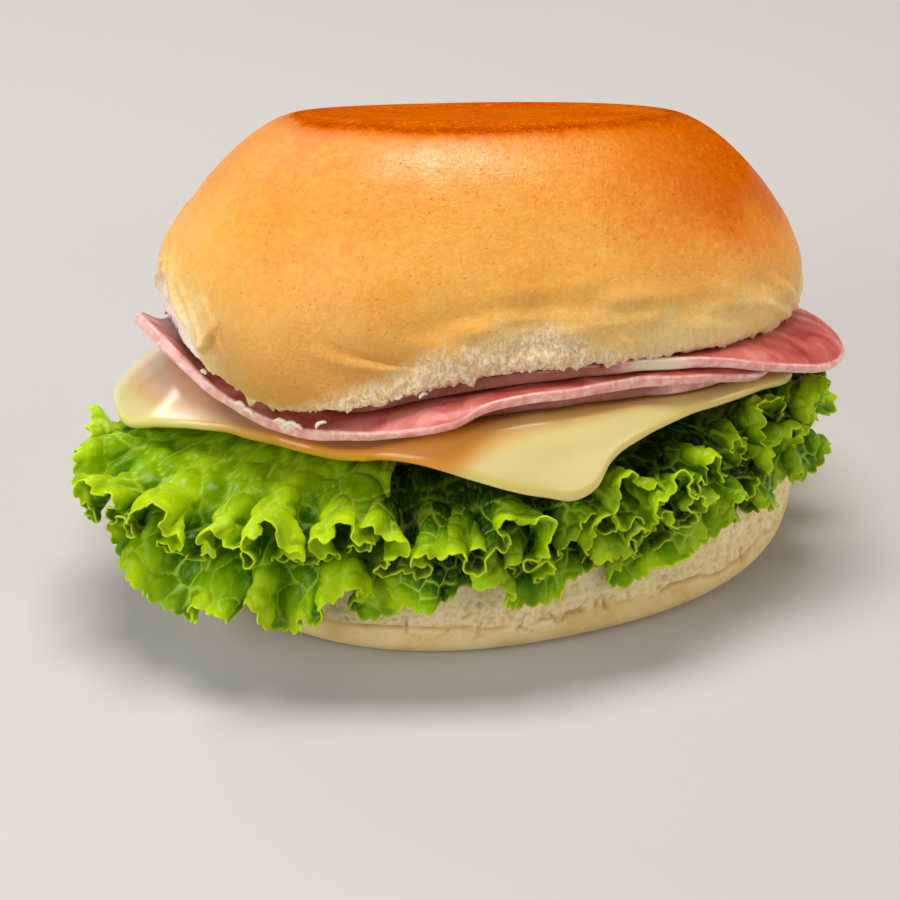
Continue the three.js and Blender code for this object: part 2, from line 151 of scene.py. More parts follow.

# A leaf runs between two angles, from a root so high over the lower half, and laps over the next.
# Phase moves its frills along and droop turns its edge down. Blister is the size of its blisters,
# deep how dark it is inward, partly its own darker green and partly painted shade, pale how pale it is,
# calm how flat its lobes lie, cut how deep the cuts between them are, frill how high its frills are, and
# grain how coarse its mesh is.
UPPER = dict(edge=UPPER_EDGE, root=6.3, phase=0, droop=0.1)
LOWER = dict(edge=LOWER_EDGE, root=1.3, phase=1.6, droop=0.7, cut=0.25)
LEFT_LOBES = (188, 196, 204, 212, 224, 240)
FRONT_LOBES = (240.5, 260, 280, 294)
RIGHT_LOBES = (294, 307, 322, 340, 356)
LEAVES = [
    dict(UPPER, start=170, end=238, lap=LAP, blister=6, deep=0.4, pale=0.25),
    dict(UPPER, start=230, end=304, lap=0),
    dict(UPPER, start=296, end=354, lap=LAP),
    dict(edge=MIDDLE_EDGE, start=242, end=336, root=4.6, lap=0, phase=0.8, droop=0.35),
    dict(LOWER, start=184, end=244, lap=0, blister=6, deep=0.7, pale=0.2, calm=0.6, lobes=LEFT_LOBES),
    dict(LOWER, start=236, end=300, lap=LAP, calm=0.8, lobes=FRONT_LOBES),
    dict(LOWER, start=292, end=368, lap=0, calm=0.7, lobes=RIGHT_LOBES),
    dict(UPPER, start=11, end=165, root=1.4, lap=0, phase=3, droop=0.4, frill=0.5, grain=0.25),
]

# The slices: their middle, the usual distance of an edge from it, and edges of angle and distance
SLICE_MIDDLE = (-5, -5)
SLICE_REACH = 52
SLICE_EDGE_STEPS = 17
CHEESE_EDGE = [
    (0, 53), (40, 49), (70, 45), (110, 45), (135, 57), (148, 66), (157, 69), (167, 68),
    (177, 66.7), (184, 62.5), (191, 57.4), (198, 52.4), (205, 48), (215, 46.5), (231, 49.5),
    (241, 50.7), (254, 52.6), (265, 54), (270, 54.6), (275, 54), (279, 52.2), (284, 51.5),
    (297, 52), (310, 55), (319, 57.7), (329, 61.4), (336, 60), (346, 56),
]
HAM_EDGES = [
    [
        (0, 54.5), (40, 53), (90, 42), (140, 46), (180, 43), (225, 43), (250, 41.5), (273, 42),
        (283, 43.5), (292, 46), (303, 52), (313, 59.3), (320, 64.6), (325, 68), (330, 70.2),
        (335, 70.5), (340, 67.5), (347, 60),
    ],
    [
        (0, 48), (40, 47), (90, 42), (130, 51), (150, 60), (160, 63.5), (168, 62.5), (174, 61),
        (180, 59.4), (188, 55.6), (196, 53.3), (204, 51.6), (211, 50.2), (221, 50.5), (237, 50.9),
        (247, 50), (253, 47.8), (258, 46.6), (266, 46), (280, 46.4), (290, 47.8), (302, 52.5),
        (317, 59), (327, 57), (337, 52),
    ],
    [
        (0, 50), (45, 50), (90, 40), (135, 46), (180, 45), (210, 42.5), (235, 42), (253, 42.2),
        (272, 42.8), (283, 43.5), (292, 46), (303, 50), (318, 53),
    ],
]


# Plain functions of numbers or arrays


def lerp(a, b, t):
    return a + (b - a) * t


def ramp(x, low, high):
    """0 up to low, 1 from high on, and smooth between them."""
    t = np.clip((x - low) / (high - low), 0, 1)
    return t * t * (3 - 2 * t)


def bell(x, middle, width):
    """1 at the middle, and falling off smoothly on both sides."""
    return np.exp(-(((x - middle) / width) ** 2))


def ring_value(rows, degrees, column=1):
    """A value read from rows of (angle, value, ...), smooth all the way round."""
    angles = np.array([row[0] for row in rows], float)
    values = np.array([row[column] for row in rows], float)
    angles = np.concatenate([angles[-2:] - 360, angles, angles[:2] + 360])
    values = np.concatenate([values[-2:], values, values[:2]])
    slopes = np.gradient(values)
    slopes[1:-1] = (values[2:] - values[:-2]) / (angles[2:] - angles[:-2])
    degrees = np.mod(degrees, 360)
    i = np.clip(np.searchsorted(angles, degrees, side="right") - 1, 1, len(angles) - 3)
    span = angles[i + 1] - angles[i]
    t = (degrees - angles[i]) / span
    rest = 2 * t**3 - 3 * t**2 + 1
    ease_in = t**3 - 2 * t**2 + t
    ease_out = t**3 - t**2
    value = rest * values[i] + ease_in * slopes[i] * span
    return value + (1 - rest) * values[i + 1] + ease_out * slopes[i + 1] * span


def oval_radius(angle, power=SQUARENESS):
    """Radius of the unit oval in the direction of an angle."""
    return (np.abs(np.cos(angle)) ** power + np.abs(np.sin(angle)) ** power) ** (-1 / power)


def bumps(x, y, z, size, seed=0):
    """The frame's smooth bumpy field between -1 and 1."""
    a = np.sin(x / size + 1.7 * seed + 1.3 * np.sin(y / size + seed))
    b = np.sin(y / size + 2.3 * seed + 1.1 * np.sin(z / size + 2 * seed))
    c = np.sin(z / size + 0.9 * seed + 1.2 * np.sin(x / size + 3 * seed))
    return (a + b + c) / 3


# Random numbers for the noise, and the factors that scatter its cells over them
TABLE = np.random.default_rng(7).random((4096, 3))
CELL_FACTORS = (73856093, 19349663, 83492791)
SEED_FACTOR = 374761393
LAST_FACTOR = 1274126177


def cell_random(cell, seed):
    """Three random numbers from 0 to 1 for each whole-numbered cell."""
    mixed = sum(cell[..., i] * CELL_FACTORS[i] for i in range(cell.shape[-1]))
    mixed = seed * SEED_FACTOR + mixed
    mixed = (mixed ^ (mixed >> 13)) * LAST_FACTOR
    return TABLE[(mixed ^ (mixed >> 16)) % len(TABLE)]


def noise(points, size, seed=0):
    """Smooth noise from about -1 to 1 at points of one to three coordinates, with lumps of a size."""
    scaled = points / size
    cell = np.floor(scaled).astype(np.int64)
    within = scaled - cell
    ease = within**3 * (within * (within * 6 - 15) + 10)
    total = 0
    for corner in itertools.product((0, 1), repeat=points.shape[-1]):
        offset = np.array(corner)
        slope = cell_random(cell + offset, seed)[..., : points.shape[-1]] * 2 - 1
        weight = np.prod(np.where(offset, ease, 1 - ease), axis=-1)
        total = total + weight * np.sum(slope * (within - offset), axis=-1)
    return total * 1.7


def fractal(points, size, seed=0, octaves=3):
    """Noise with ever finer noise on it."""
    return sum(noise(points, size / 2**i, seed + i) / 2**i for i in range(octaves)) / 1.6


def cells(points, size, seed=0):
    """Distance to the nearest of scattered points, and how much farther the next one is."""
    scaled = points / size
    cell = np.floor(scaled).astype(np.int64)
    first = np.full(scaled.shape[:-1], 9.0)
    second = first.copy()
    for corner in itertools.product((-1, 0, 1), repeat=points.shape[-1]):
        near = cell + np.array(corner)
        spot = near + cell_random(near, seed)[..., : points.shape[-1]]
        distance = np.linalg.norm(spot - scaled, axis=-1)
        second = np.minimum(second, np.maximum(first, distance))
        first = np.minimum(first, distance)
    return first * size, (second - first) * size


# The fillings' heights, as in the frame


def slump(x, y):
    """How far the upper half hangs below the plane of its cut."""
    angle = np.arctan2(y / HALF_WIDTH, x / HALF_LENGTH)
    share = np.hypot(x / HALF_LENGTH, y / HALF_WIDTH) / oval_radius(angle)
    turn = np.mod(angle - SLUMP_ANGLE + np.pi, 2 * np.pi) - np.pi
    return SLUMP * bell(turn, 0, SLUMP_WIDTH) * ramp(share, 0.3, 1)


def cut_height(x, y):
    """Height of the upper half's cut face."""
    lean = (y - CROWN_SEAT[1]) * math.tan(CROWN_TILT)
    side = (x - CROWN_SEAT[0]) * math.tan(CROWN_ROLL)
    return CROWN_SEAT[2] + lean - side - slump(x, y)


def heel_top(y):
    """Height of the lower half's cut face."""
    return HEEL_HEIGHT - HEEL_SLOPE * y


def overhang(x, y):
    """How far a point lies outside the roll's oval, zero inside it."""
    angle = np.arctan2(y / HALF_WIDTH, x / HALF_LENGTH)
    across, along = HALF_WIDTH * np.sin(angle), HALF_LENGTH * np.cos(angle)
    return np.maximum(0, np.hypot(x, y) - oval_radius(angle) * np.hypot(along, across))


def frontness(x, y):
    """Share from 0 to 1 by which a point faces the front of the roll."""
    return ramp(-y / np.sqrt(x * x + y * y + 1), 0.1, 0.85)


def sag(x, y):
    """How far the cheese sags past the edge of the roll."""
    out = overhang(x * 1.05, y * 1.05)
    return out * out / (1 + 0.1 * out) * lerp(0.1, 0.25, frontness(x, y))


def cheese_height(x, y):
    """Middle height of the cheese."""
    under = 3 * (HAM_THICKNESS + GAP) + GAP + CHEESE_THICKNESS / 2
    return cut_height(x, y) - under - sag(x, y)


def ham_height(order, x, y):
    """Middle height of a ham slice, from 1 under the bread to 3 on the cheese."""
    rest = cut_height(x, y) - (order - 0.5) * (HAM_THICKNESS + GAP) - GAP / 2
    curl = HAM_CURL * ramp(-x, 57, 70) if order == 2 else 0
    return rest - HAM_SAG[order - 1] * sag(x, y) + curl


# Materials


def linear(code):
    """Linear colour, with alpha, of an sRGB hex code."""
    parts = [int(code[i : i + 2], 16) / 255 for i in (0, 2, 4)]
    return (*[c / 12.92 if c <= 0.04045 else ((c + 0.055) / 1.055) ** 2.4 for c in parts], 1)


# Settings that many nodes share
RGBA = dict(data_type="RGBA")
FALLING = {"To Min": 1, "To Max": 0}
TIMES_PLUS = dict(operation="MULTIPLY_ADD")


def add(material, kind, inputs=None, stops=None, **settings):
    """Adds a node to a material, sets it, and gives each input a value, an output, or a node that
    stands for its first output in use. A pattern's Size, in millimetres, becomes its scale."""
    tree = material.node_tree
    node = tree.nodes.new("ShaderNode" + kind)
    for name, value in settings.items():
        setattr(node, name, value)
    for name, value in (inputs or {}).items():
        if name == "Size":
            name, value = "Scale", 1 / (value * MM)
        if isinstance(value, bpy.types.Node):
            value = next(output for output in value.outputs if output.enabled)
        if isinstance(value, bpy.types.NodeSocket):
            tree.links.new(value, node.inputs[name])
        else:
            node.inputs[name].default_value = value
    if stops:
        elements = node.color_ramp.elements
        while len(elements) < len(stops):
            elements.new(1)
        for element, (position, colour) in zip(elements, stops):
            element.position = position
            element.color = linear(colour)
    return node


def new_material(name, *attributes):
    """An empty material, and the outputs that read its piece's attributes."""
    material = bpy.data.materials.new(name)
    material.use_nodes = True
    material.node_tree.nodes.clear()
    reads = [add(material, "Attribute", attribute_name=key).outputs["Fac"] for key in attributes]
    return material, *reads


def finish_material(material, **inputs):
    """Gives a material its shader and output."""
    named = {name.replace("_", " "): value for name, value in inputs.items()}
    shader = add(material, "BsdfPrincipled", named)
    add(material, "OutputMaterial", {"Surface": shader})
    return material


def baked_crust():
    """Milk roll crust: brushed with milk and baked, so it has a satin skin, pale at the cut, golden
    at the side and deep orange on the flat top, with pale scratches, dark pores, and pale specks on
    the top that are partly painted glints. Painted shade darkens it low at the left front and in its
    dimples, and where it is torn the crumb is matt and cream, painted light making it nearly white at
    the left."""
    m, bake, crumb, painted_crust_shade, white, sheen = new_material(
        "baked_milk_roll_crust", "bake", "crumb", "painted_crust_shade", "white", "sheen"
    )
    place = add(m, "TexCoord").outputs["Object"]
    cloud = add(m, "TexNoise", {"Vector": place, "Size": 9, "Detail": 4, "Roughness": 0.6})
    blotch = add(m, "TexNoise", {"Vector": place, "Size": 1.3, "Detail": 4, "Roughness": 0.7})
    hair = add(m, "TexNoise", {"Vector": place, "Size": 1.1, "Detail": 1, "Distortion": 0.9})
    from_line = add(m, "Math", {0: hair, 1: 0.5}, operation="SUBTRACT")
    from_line = add(m, "Math", {0: from_line}, operation="ABSOLUTE")
    scratch = add(m, "MapRange", {"Value": from_line, "From Max": 0.022, **FALLING})
    pore = add(m, "TexVoronoi", {"Vector": place, "Size": 1.9})
    dark = add(m, "MapRange", {"Value": pore, "From Min": 0.07, "From Max": 0.16, **FALLING})
    # Pale specks on the flat top, partly the skin's own and partly painted glints
    speck = add(m, "TexVoronoi", {"Vector": place, "Size": 0.75})
    light = add(m, "MapRange", {"Value": speck, "From Min": 0.1, "From Max": 0.3, **FALLING})
    top = add(m, "MapRange", {"Value": bake, "From Min": 0.74, "From Max": 0.82, "To Max": 0.26})
    specks = add(m, "Math", {0: light, 1: top}, operation="MULTIPLY")
    shade = add(m, "Math", {0: cloud, 1: 0.18, 2: -0.09}, **TIMES_PLUS)
    shade = add(m, "Math", {0: shade, 1: bake}, operation="ADD")
    grainy = add(m, "Math", {0: blotch, 1: 0.42, 2: -0.21}, **TIMES_PLUS)
    shade = add(m, "Math", {0: shade, 1: grainy}, operation="ADD")
    shade = add(m, "Math", {0: scratch, 1: -0.1, 2: shade}, **TIMES_PLUS)
    shade = add(m, "Math", {0: dark, 1: 0.14, 2: shade}, **TIMES_PLUS)
    shade = add(m, "Math", {0: shade, 1: specks}, operation="SUBTRACT")
    baked = [(0, "EED6AE"), (0.12, "ECCB88"), (0.25, "ECB65C"), (0.42, "EAA23C")]
    baked += [(0.6, "E08014"), (0.8, "CC5E02"), (1, "A03C00")]
    skin = add(m, "ValToRGB", {"Fac": shade}, stops=baked)
    upright = add(m, "VectorMath", {0: place, 1: (1, 1, 0.6)}, operation="MULTIPLY")
    strand = add(m, "TexNoise", {"Vector": upright, "Size": 0.8, "Detail": 3, "Distortion": 1.2})
    inside = add(m, "ValToRGB", {"Fac": strand}, stops=[(0.3, "CEA46E"), (0.5, "E5C99C"), (0.7, "F8ECD8")])
    # Painted light: the crumb at the left is whitened as if lit
    inside = add(m, "Mix", {0: white, 6: inside, 7: linear("F8F0E6")}, **RGBA)
    # Painted shade: the skin is mixed toward a darker brown where it lies in shade
    skin_with_painted_shade = add(m, "Mix", {0: painted_crust_shade, 6: skin, 7: linear("B8761C")}, **RGBA)
    colour = add(m, "Mix", {0: crumb, 6: skin_with_painted_shade, 7: inside}, **RGBA)
    fine = add(m, "TexNoise", {"Vector": place, "Size": 0.6, "Detail": 3, "Roughness": 0.6})
    relief = add(m, "Math", {0: dark, 1: -0.5, 2: fine}, **TIMES_PLUS)
    relief = add(m, "Math", {0: scratch, 1: 0.3, 2: relief}, **TIMES_PLUS)
    relief = add(m, "Mix", {0: crumb, 2: relief, 3: strand})
    strength = add(m, "Math", {0: crumb, 1: 0.1, 2: 0.6}, **TIMES_PLUS)
    bump = add(m, "Bump", {"Height": relief, "Strength": strength, "Distance": 0.3 * MM})
    rough = add(m, "Math", {0: crumb, 1: 0.5, 2: 0.37}, **TIMES_PLUS)
    matt = add(m, "MapRange", {"Value": bake, "From Min": 0.6, "From Max": 0.8, **FALLING})
    gloss = add(m, "Math", {0: matt, 1: sheen}, operation="MULTIPLY")
    return finish_material(
        m, Base_Color=colour, Roughness=rough, Normal=bump, IOR=1.45,
        Specular_IOR_Level=gloss, Subsurface_Weight=0.12, Subsurface_Radius=(1.0, 0.5, 0.2),
        Subsurface_Scale=1.2 * MM,
    )


def pale_bread():
    """Side and underside of a milk roll: soft pale skin below a cracked crease, and torn crumb with
    small holes above it."""
    m, crumb, crease = new_material("pale_milk_roll_bread", "crumb", "crease")
    place = add(m, "TexCoord").outputs["Object"]
    cloud = add(m, "TexNoise", {"Vector": place, "Size": 6, "Detail": 5, "Roughness": 0.6})
    skin = add(m, "ValToRGB", {"Fac": cloud}, stops=[(0.3, "E0BF7A"), (0.5, "EDD292"), (0.7, "F3DFAC")])
    grain = add(m, "TexNoise", {"Vector": place, "Size": 1.3, "Detail": 4, "Roughness": 0.6})
    inside = add(m, "ValToRGB", {"Fac": grain}, stops=[(0.3, "DCC084"), (0.5, "F0DCA8"), (0.75, "F8ECC8")])
    bread = add(m, "Mix", {0: crumb, 6: skin, 7: inside}, **RGBA)
    # The crease colour also darkens the crumb's holes, as painted shade
    colour = add(m, "Mix", {0: crease, 6: bread, 7: linear("B27F3A")}, **RGBA)
    fine = add(m, "TexNoise", {"Vector": place, "Size": 0.6, "Detail": 4, "Roughness": 0.7})
    strength = add(m, "Math", {0: crumb, 1: 0.35, 2: 0.12}, **TIMES_PLUS)
    bump = add(m, "Bump", {"Height": fine, "Strength": strength, "Distance": 0.3 * MM})
    return finish_material(
        m, Base_Color=colour, Roughness=0.8, Normal=bump, IOR=1.4,
        Specular_IOR_Level=0.25, Subsurface_Weight=0.15, Subsurface_Radius=(1.0, 0.7, 0.35),
        Subsurface_Scale=1.5 * MM,
    )


def cooked_ham():
    """Cooked ham: wet pink meat of pressed muscle, paler and glossy where the slicer cut it, with a
    little white fat at one edge. Parts of the cut edges are painted darker and browner as shade."""
    m, rim, fat, painted_edge_shade = new_material("moist_cooked_ham", "rim", "fat", "painted_edge_shade")
    place = add(m, "TexCoord").outputs["Object"]
    muscle = add(m, "TexNoise", {"Vector": place, "Size": 9, "Detail": 4, "Distortion": 0.8})
    face = add(m, "ValToRGB", {"Fac": muscle}, stops=[(0.32, "9A3C38"), (0.5, "C05F57"), (0.68, "DE948C")])
    streak = add(m, "TexNoise", {"Vector": place, "Size": 2, "Detail": 4, "Distortion": 0.5})
    edge = add(m, "ValToRGB", {"Fac": streak}, stops=[(0.3, "DE8E88"), (0.52, "EEB0AA"), (0.75, "F8D8D2")])
    meat = add(m, "Mix", {0: rim, 6: face, 7: edge}, **RGBA)
    # Painted shade: edges in shade are painted a darker, browner red
    meat_with_painted_shade = add(m, "Mix", {0: painted_edge_shade, 6: meat, 7: linear("94462C")}, **RGBA)
    colour = add(m, "Mix", {0: fat, 6: meat_with_painted_shade, 7: linear("F0DDBE")}, **RGBA)
    wet = add(m, "TexNoise", {"Vector": place, "Size": 0.7, "Detail": 3, "Roughness": 0.6})
    uneven = add(m, "Math", {0: rim, 1: 0.4, 2: 0.3}, **TIMES_PLUS)
    bump = add(m, "Bump", {"Height": wet, "Strength": uneven, "Distance": 0.2 * MM})
    gloss = add(m, "Math", {0: rim, 1: 0.5, 2: 0.15}, **TIMES_PLUS)
    return finish_material(
        m, Base_Color=colour, Roughness=0.36, Normal=bump, IOR=1.42,
        Specular_IOR_Level=0.35, Subsurface_Weight=0.35, Subsurface_Radius=(1.0, 0.3, 0.2),
        Subsurface_Scale=2.5 * MM, Coat_Weight=gloss, Coat_Roughness=0.12,
    )


def soft_cheese():
    """Processed cheese slice, soft from heat: ivory, slightly see-through at its rounded edge,
    yellower along the lower edge, with a waxy gloss. Painted shade makes it darker orange beside the
    ham, and painted light makes it paler toward the left."""
    m, rim, below, painted_shade_by_ham, ivory = new_material("soft_white_cheese", "rim", "below", "painted_shade_by_ham", "ivory")
    place = add(m, "TexCoord").outputs["Object"]
    cloud = add(m, "TexNoise", {"Vector": place, "Size": 14, "Detail": 2})
    # The ivory mark is painted light that pales the cheese toward the left
    pale = add(m, "Math", {0: cloud, 1: 0.5, 2: ivory}, **TIMES_PLUS)
    face = add(m, "ValToRGB", {"Fac": pale}, stops=[(0.15, "D2C47C"), (0.5, "E2D698"), (0.9, "F8F2DE")])
    edge = add(m, "Mix", {0: rim, 6: face, 7: linear("E0D07C")}, **RGBA)
    # Painted shade beside the ham, in orange
    cheese_with_painted_shade = add(m, "Mix", {0: painted_shade_by_ham, 6: edge, 7: linear("DC8E24")}, **RGBA)
    colour = add(m, "Mix", {0: below, 6: cheese_with_painted_shade, 7: linear("E0A818")}, **RGBA)
    fine = add(m, "TexNoise", {"Vector": place, "Size": 0.8, "Detail": 2})
    bump = add(m, "Bump", {"Height": fine, "Strength": 0.06, "Distance": 0.1 * MM})
    return finish_material(
        m, Base_Color=colour, Roughness=0.26, Normal=bump, IOR=1.44,
        Specular_IOR_Level=0.3, Subsurface_Weight=0.5, Subsurface_Radius=(0.8, 0.75, 0.5),
        Subsurface_Scale=2 * MM, Coat_Weight=0.6, Coat_Roughness=0.2,
    )


def frilled_lettuce():
    """Frilled green lettuce: a thin wet blade that light comes through, darker green inward, partly
    its own colour and partly painted shade, and darker in the troughs of its frills as painted shade,
    with a net of pale veins and a bright yellow-green margin."""
    m, vein, margin, inner, fold = new_material("frilled_green_lettuce", "vein", "margin", "inner", "fold")
    place = add(m, "TexCoord").outputs["Object"]
    cloud = add(m, "TexNoise", {"Vector": place, "Size": 9, "Detail": 3})
    shade = add(m, "Math", {0: cloud, 1: 0.9, 2: -0.3}, **TIMES_PLUS)
    # Darker inward: partly the leaf's own darker green, partly painted shade of the hollows
    shade = add(m, "Math", {0: inner, 1: 0.55, 2: shade}, **TIMES_PLUS)
    # Painted shade in the troughs of the frills
    shade = add(m, "Math", {0: fold, 1: 0.8, 2: shade}, **TIMES_PLUS)
    greens = [(0, "AECC08"), (0.25, "82AA00"), (0.55, "427400"), (0.9, "123400")]
    blade = add(m, "ValToRGB", {"Fac": shade}, stops=greens)
    veined = add(m, "Mix", {0: vein, 6: blade, 7: linear("AACC34")}, **RGBA)
    colour = add(m, "Mix", {0: margin, 6: veined, 7: linear("C2DE1C")}, **RGBA)
    fine = add(m, "TexNoise", {"Vector": place, "Size": 1.2, "Detail": 2})
    bump = add(m, "Bump", {"Height": fine, "Strength": 0.08, "Distance": 0.12 * MM})
    return finish_material(
        m, Base_Color=colour, Roughness=0.24, Normal=bump, IOR=1.38,
        Specular_IOR_Level=0.15, Subsurface_Weight=0.4, Subsurface_Radius=(0.6, 1.0, 0.08),
        Subsurface_Scale=MM,
    )


# Meshes


def coordinates(mesh, kind="co"):
    flat = np.empty(len(mesh.vertices) * 3, np.float32)
    mesh.vertices.foreach_get(kind, flat)
    return flat.reshape(-1, 3).astype(float)


def move(mesh, points):
    mesh.vertices.foreach_set("co", points.astype(np.float32).ravel())
    mesh.update()


def mesh_of(bm, name):
    mesh = bpy.data.meshes.new(name)
    bm.to_mesh(mesh)
    bm.free()
    return mesh


def new_object(name, data):
    obj = bpy.data.objects.new(name, data)
    bpy.context.scene.collection.objects.link(obj)
    return obj


def turned(profile, steps):
    """A profile of (distance, height) turned once round the Z axis: a grid rolled up and closed."""
    bm = bmesh.new()
    rows = len(profile) - 1
    bmesh.ops.create_grid(bm, x_segments=steps, y_segments=rows, size=0.5)
    seam = []
    for vert in bm.verts:
        step, row = round((vert.co.x + 0.5) * steps), round((vert.co.y + 0.5) * rows)
        distance, height = profile[row]
        angle = 2 * math.pi * step / steps
        vert.co = (distance * math.cos(angle), distance * math.sin(angle), height)
        if step in (0, steps) or distance == 0:
            seam.append(vert)
    bmesh.ops.remove_doubles(bm, verts=seam, dist=1e-6)
    bmesh.ops.recalc_face_normals(bm, faces=bm.faces)
    return mesh_of(bm, "turned")


def bezier(start, first, second, end, count, lead=1):
    """Points of a cubic Bezier curve after its start, closer together there if lead is above 1."""
    t = np.linspace(0, 1, count + 1)[1:, None] ** lead
    rest = 1 - t
    start, first, second, end = (np.array(p, float) for p in (start, first, second, end))
    curve = rest**3 * start + 3 * rest**2 * t * first + 3 * rest * t**2 * second + t**3 * end
    return [tuple(p) for p in curve]


def line(start, end, count):
    """Points of a straight line after its start."""
    start, end = np.array(start, float), np.array(end, float)
    return [tuple(lerp(start, end, (i + 1) / count)) for i in range(count)]


def finish_piece(name, mesh, points, attributes, material, nodes, inset=0):
    """Makes a mesh in millimetres a piece of the roll, kept that far inside the frame's box."""
    low, high = np.array(cad_box[0]) + inset * MM, np.array(cad_box[1]) - inset * MM
    move(mesh, np.clip(points * MM, low, high))
    for key, values in attributes.items():
        layer = mesh.attributes.new(key, "FLOAT", "POINT")
        layer.data.foreach_set("value", values.astype(np.float32))
    mesh.shade_smooth()
    mesh.name = name
    mesh.materials.append(material)
    obj = new_object(name, mesh)
    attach(obj, "root")
    if nodes:
        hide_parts(*nodes)
    return obj


def polar(mesh):
    """Share of the outline, angle and height of a turned mesh's vertices."""
    raw = coordinates(mesh)
    return np.hypot(raw[:, 0], raw[:, 1]), np.arctan2(raw[:, 1], raw[:, 0]), raw[:, 2].copy()


def oval_place(share, angle):
    """Place in millimetres of a share of the oval at an angle."""
    radius = share * oval_radius(angle)
    return HALF_LENGTH * radius * np.cos(angle), HALF_WIDTH * radius * np.sin(angle)


def make_heel(material):
    """Lower half: flat base, smooth skin up to a cracked crease, and torn crumb above it."""
    height = HEEL_HEIGHT
    profile = [(0, 0)] + line((0, 0), (0.9, 0), 5)
    profile += bezier((0.9, 0), (0.965, 0), (1, 2.6), (1, 7.5), 26)
    profile += bezier((1, 7.5), (1, 17), (0.985, height), (0.93, height), 62)
    profile += line((0.93, height), (0.5, height - 0.6), 11)
    profile += line((0.5, height - 0.6), (0, height - 0.8), 4)
    mesh = turned(profile, HEEL_STEPS)
    share, angle, z = polar(mesh)
    x, y = oval_place(share, angle)
    side = ramp(share, 0.7, 0.95) * ramp(z, 0.5, 6)
    swell = 1 + side * 0.6 * bumps(x, y, z * 2, 6, 2) / HALF_LENGTH
    z = z * heel_top(y) / height
    points = np.stack([x * swell, y * swell, z], 1)
    move(mesh, points)
    normal = coordinates(mesh, "normal")

    # The crease wanders round the side, and short cracks run off it
    crease = HEEL_CREASE + 1.3 * noise(points, 24, 3) + noise(points, 6, 4)
    crumb = ramp(z - crease, -0.2, 1.0) * ramp(share, 0.5, 0.6)
    crumb = np.maximum(crumb, ramp(z, height - 3, height - 1) * (share < 0.93))
    _, border = cells(points * (1, 1, 1.3), 6.5, 9)
    near = bell(z, crease, 2.4) * (noise(points, 9, 10) > 0.05)
    crack = bell(border, 0, 0.28) * near
    seam = bell(z, crease, 0.34) * ramp(noise(points, 7, 16), -0.5, 0.1)
    dent = np.maximum(seam, crack) * side

    # Holes of the crumb, a little longer than high
    stretched = points * (1, 1, 1.5)
    holes, _ = cells(stretched, 2.6, 5)
    small, _ = cells(stretched, 1.1, 15)
    pit = ramp(0.75 + 0.5 * noise(points, 5, 7) - holes, 0, 0.5)
    pit = np.maximum(pit, 0.5 * ramp(0.32 - small, 0, 0.2))
    torn = 0.32 * fractal(points, 1.5, 6) - 0.55 * pit
    soft = 0.3 * noise(points, 9, 8) * side
    relief = crumb * torn * ramp(z, 1, 4) + soft - 0.8 * dent
    relief = np.minimum(relief, 0.25) * ramp(z, 0.2, 1.5)
    points = points + normal * relief[:, None]
    # The crease mark darkens the crack and crease, and also the crumb's holes, which is painted shade
    attributes = {"crumb": crumb, "crease": np.maximum(0.7 * dent, 0.4 * pit * crumb)}
    return finish_piece("heel_bread", mesh, points, attributes, material, ["heel"])


def crown_form(share, angle, level, swell=0):
    """The upper half's surface before it leans, pressed down and slumped at its left front."""
    x, y = oval_place(share, angle)
    z = level - (CROWN_WEDGE * y + CROWN_SIDE_WEDGE * x) * level / CROWN_HEIGHT
    hang = 1 - ramp(level, 2, 26)
    z = z - hang * slump(x + CROWN_SEAT[0], y + CROWN_SEAT[1])
    shift = CROWN_SHIFT * level / CROWN_HEIGHT
    scale = 1 + swell / HALF_LENGTH
    return np.stack([x * scale * CROWN_STRETCH + shift, y * scale, z], 1)


def crown_seated(points):
    """Points of the upper half where it lies on the fillings."""
    turn = Matrix.Rotation(CROWN_TILT, 3, "X") @ Matrix.Rotation(CROWN_ROLL, 3, "Y")
    return points @ np.array(turn).T + CROWN_SEAT


def skin_folds(degrees, level):
    """Height of the folds in the upper half's skin, each a ridge with a groove beside it."""
    total = np.zeros_like(level)
    drift = 0.9 * noise(np.stack([degrees, level], 1), 9, 38)
    for at, lean, low, high, height, width in CROWN_FOLDS:
        run = np.mod(degrees + drift - at - lean * level + 180, 360) - 180
        aside = run / math.sqrt(1 + lean * lean)
        shape = np.exp(-((aside / width) ** 2)) - 0.8 * np.exp(-((aside / width - 1.2) ** 2 / 0.3))
        ends = ramp(level, low, low + 2) * ramp(high - level, 0, 4)
        total = total + height * shape * ends
    return total


